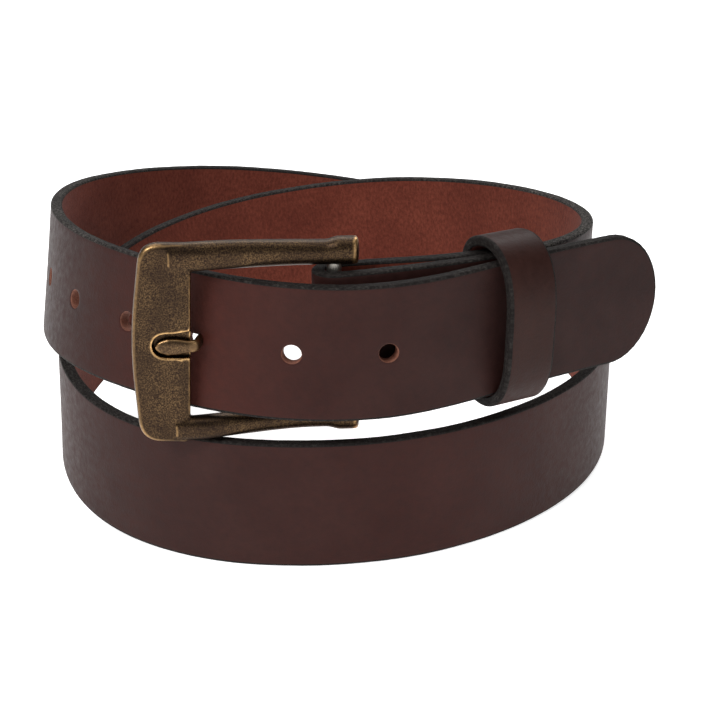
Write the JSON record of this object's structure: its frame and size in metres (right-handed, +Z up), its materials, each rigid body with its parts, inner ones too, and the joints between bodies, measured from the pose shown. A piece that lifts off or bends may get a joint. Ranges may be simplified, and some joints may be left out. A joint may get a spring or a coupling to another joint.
{
  "type": "leather belt",
  "caption": "Leather belt coiled in two turns and fastened through a half-frame metal buckle with a notched plate, a prong and a stapled keeper loop.",
  "frame": {"origin": "middle of the belt's bounding box in plan, on the surface the belt stands on", "axes": "+Z up along the strap's width, -Y out of the buckle's face, +X from the buckle towards the strap's tip"},
  "size_m": [0.1866, 0.188, 0.095],
  "materials": {
    "strap_leather": "waxed full-grain, dark brown, with a reddish brown flesh side and grey-brown edges",
    "keeper_leather": "waxed full-grain, darker brown",
    "antique_brass": "antiqued and brushed, dark speckled face with rubbed bright edges",
    "steel": "plain, slightly dull"
  },
  "bodies": {
    "coil": {"strap": "strap_leather", "barrel_nut_upper": "steel", "belt_screw_upper": "steel", "barrel_nut_lower": "steel", "belt_screw_lower": "steel"},
    "tail": {"strap_tail": "strap_leather"},
    "frame": {"buckle_frame": "antique_brass", "hinge_bar": "steel"},
    "tongue": {"prong": "antique_brass"},
    "loop": {"keeper": "keeper_leather", "keeper_staple_left": "steel", "keeper_staple_right": "steel"}
  },
  "joints": [
    {"name": "tail_release", "type": "hinge", "parent": "coil", "child": "tail", "pos_m": [-0.06509, -0.06174, 0.06601], "axis": [0, 0, -1], "range_deg": [0, 75], "deforming": ["strap_tail"]},
    {"name": "frame_swing", "type": "hinge", "parent": "coil", "child": "frame", "pos_m": [0.00093, -0.08239, 0.0668], "axis": [0, 0, 1], "range_deg": [0, 25]},
    {"name": "prong_swing", "type": "hinge", "parent": "frame", "child": "tongue", "pos_m": [0.00093, -0.08239, 0.0668], "axis": [0, 0, 1], "range_deg": [0, 60]},
    {"name": "keeper_slide", "type": "hinge", "parent": "coil", "child": "loop", "pos_m": [0.00198, 0.0082, 0.06691], "axis": [0, 0, 1], "range_deg": [-3, 3]}
  ],
  "couplings": [
    {"joint": "frame_swing", "follows": "tail_release", "ratio": 0.3333},
    {"joint": "prong_swing", "follows": "tail_release", "ratio": 0.8}
  ]
}
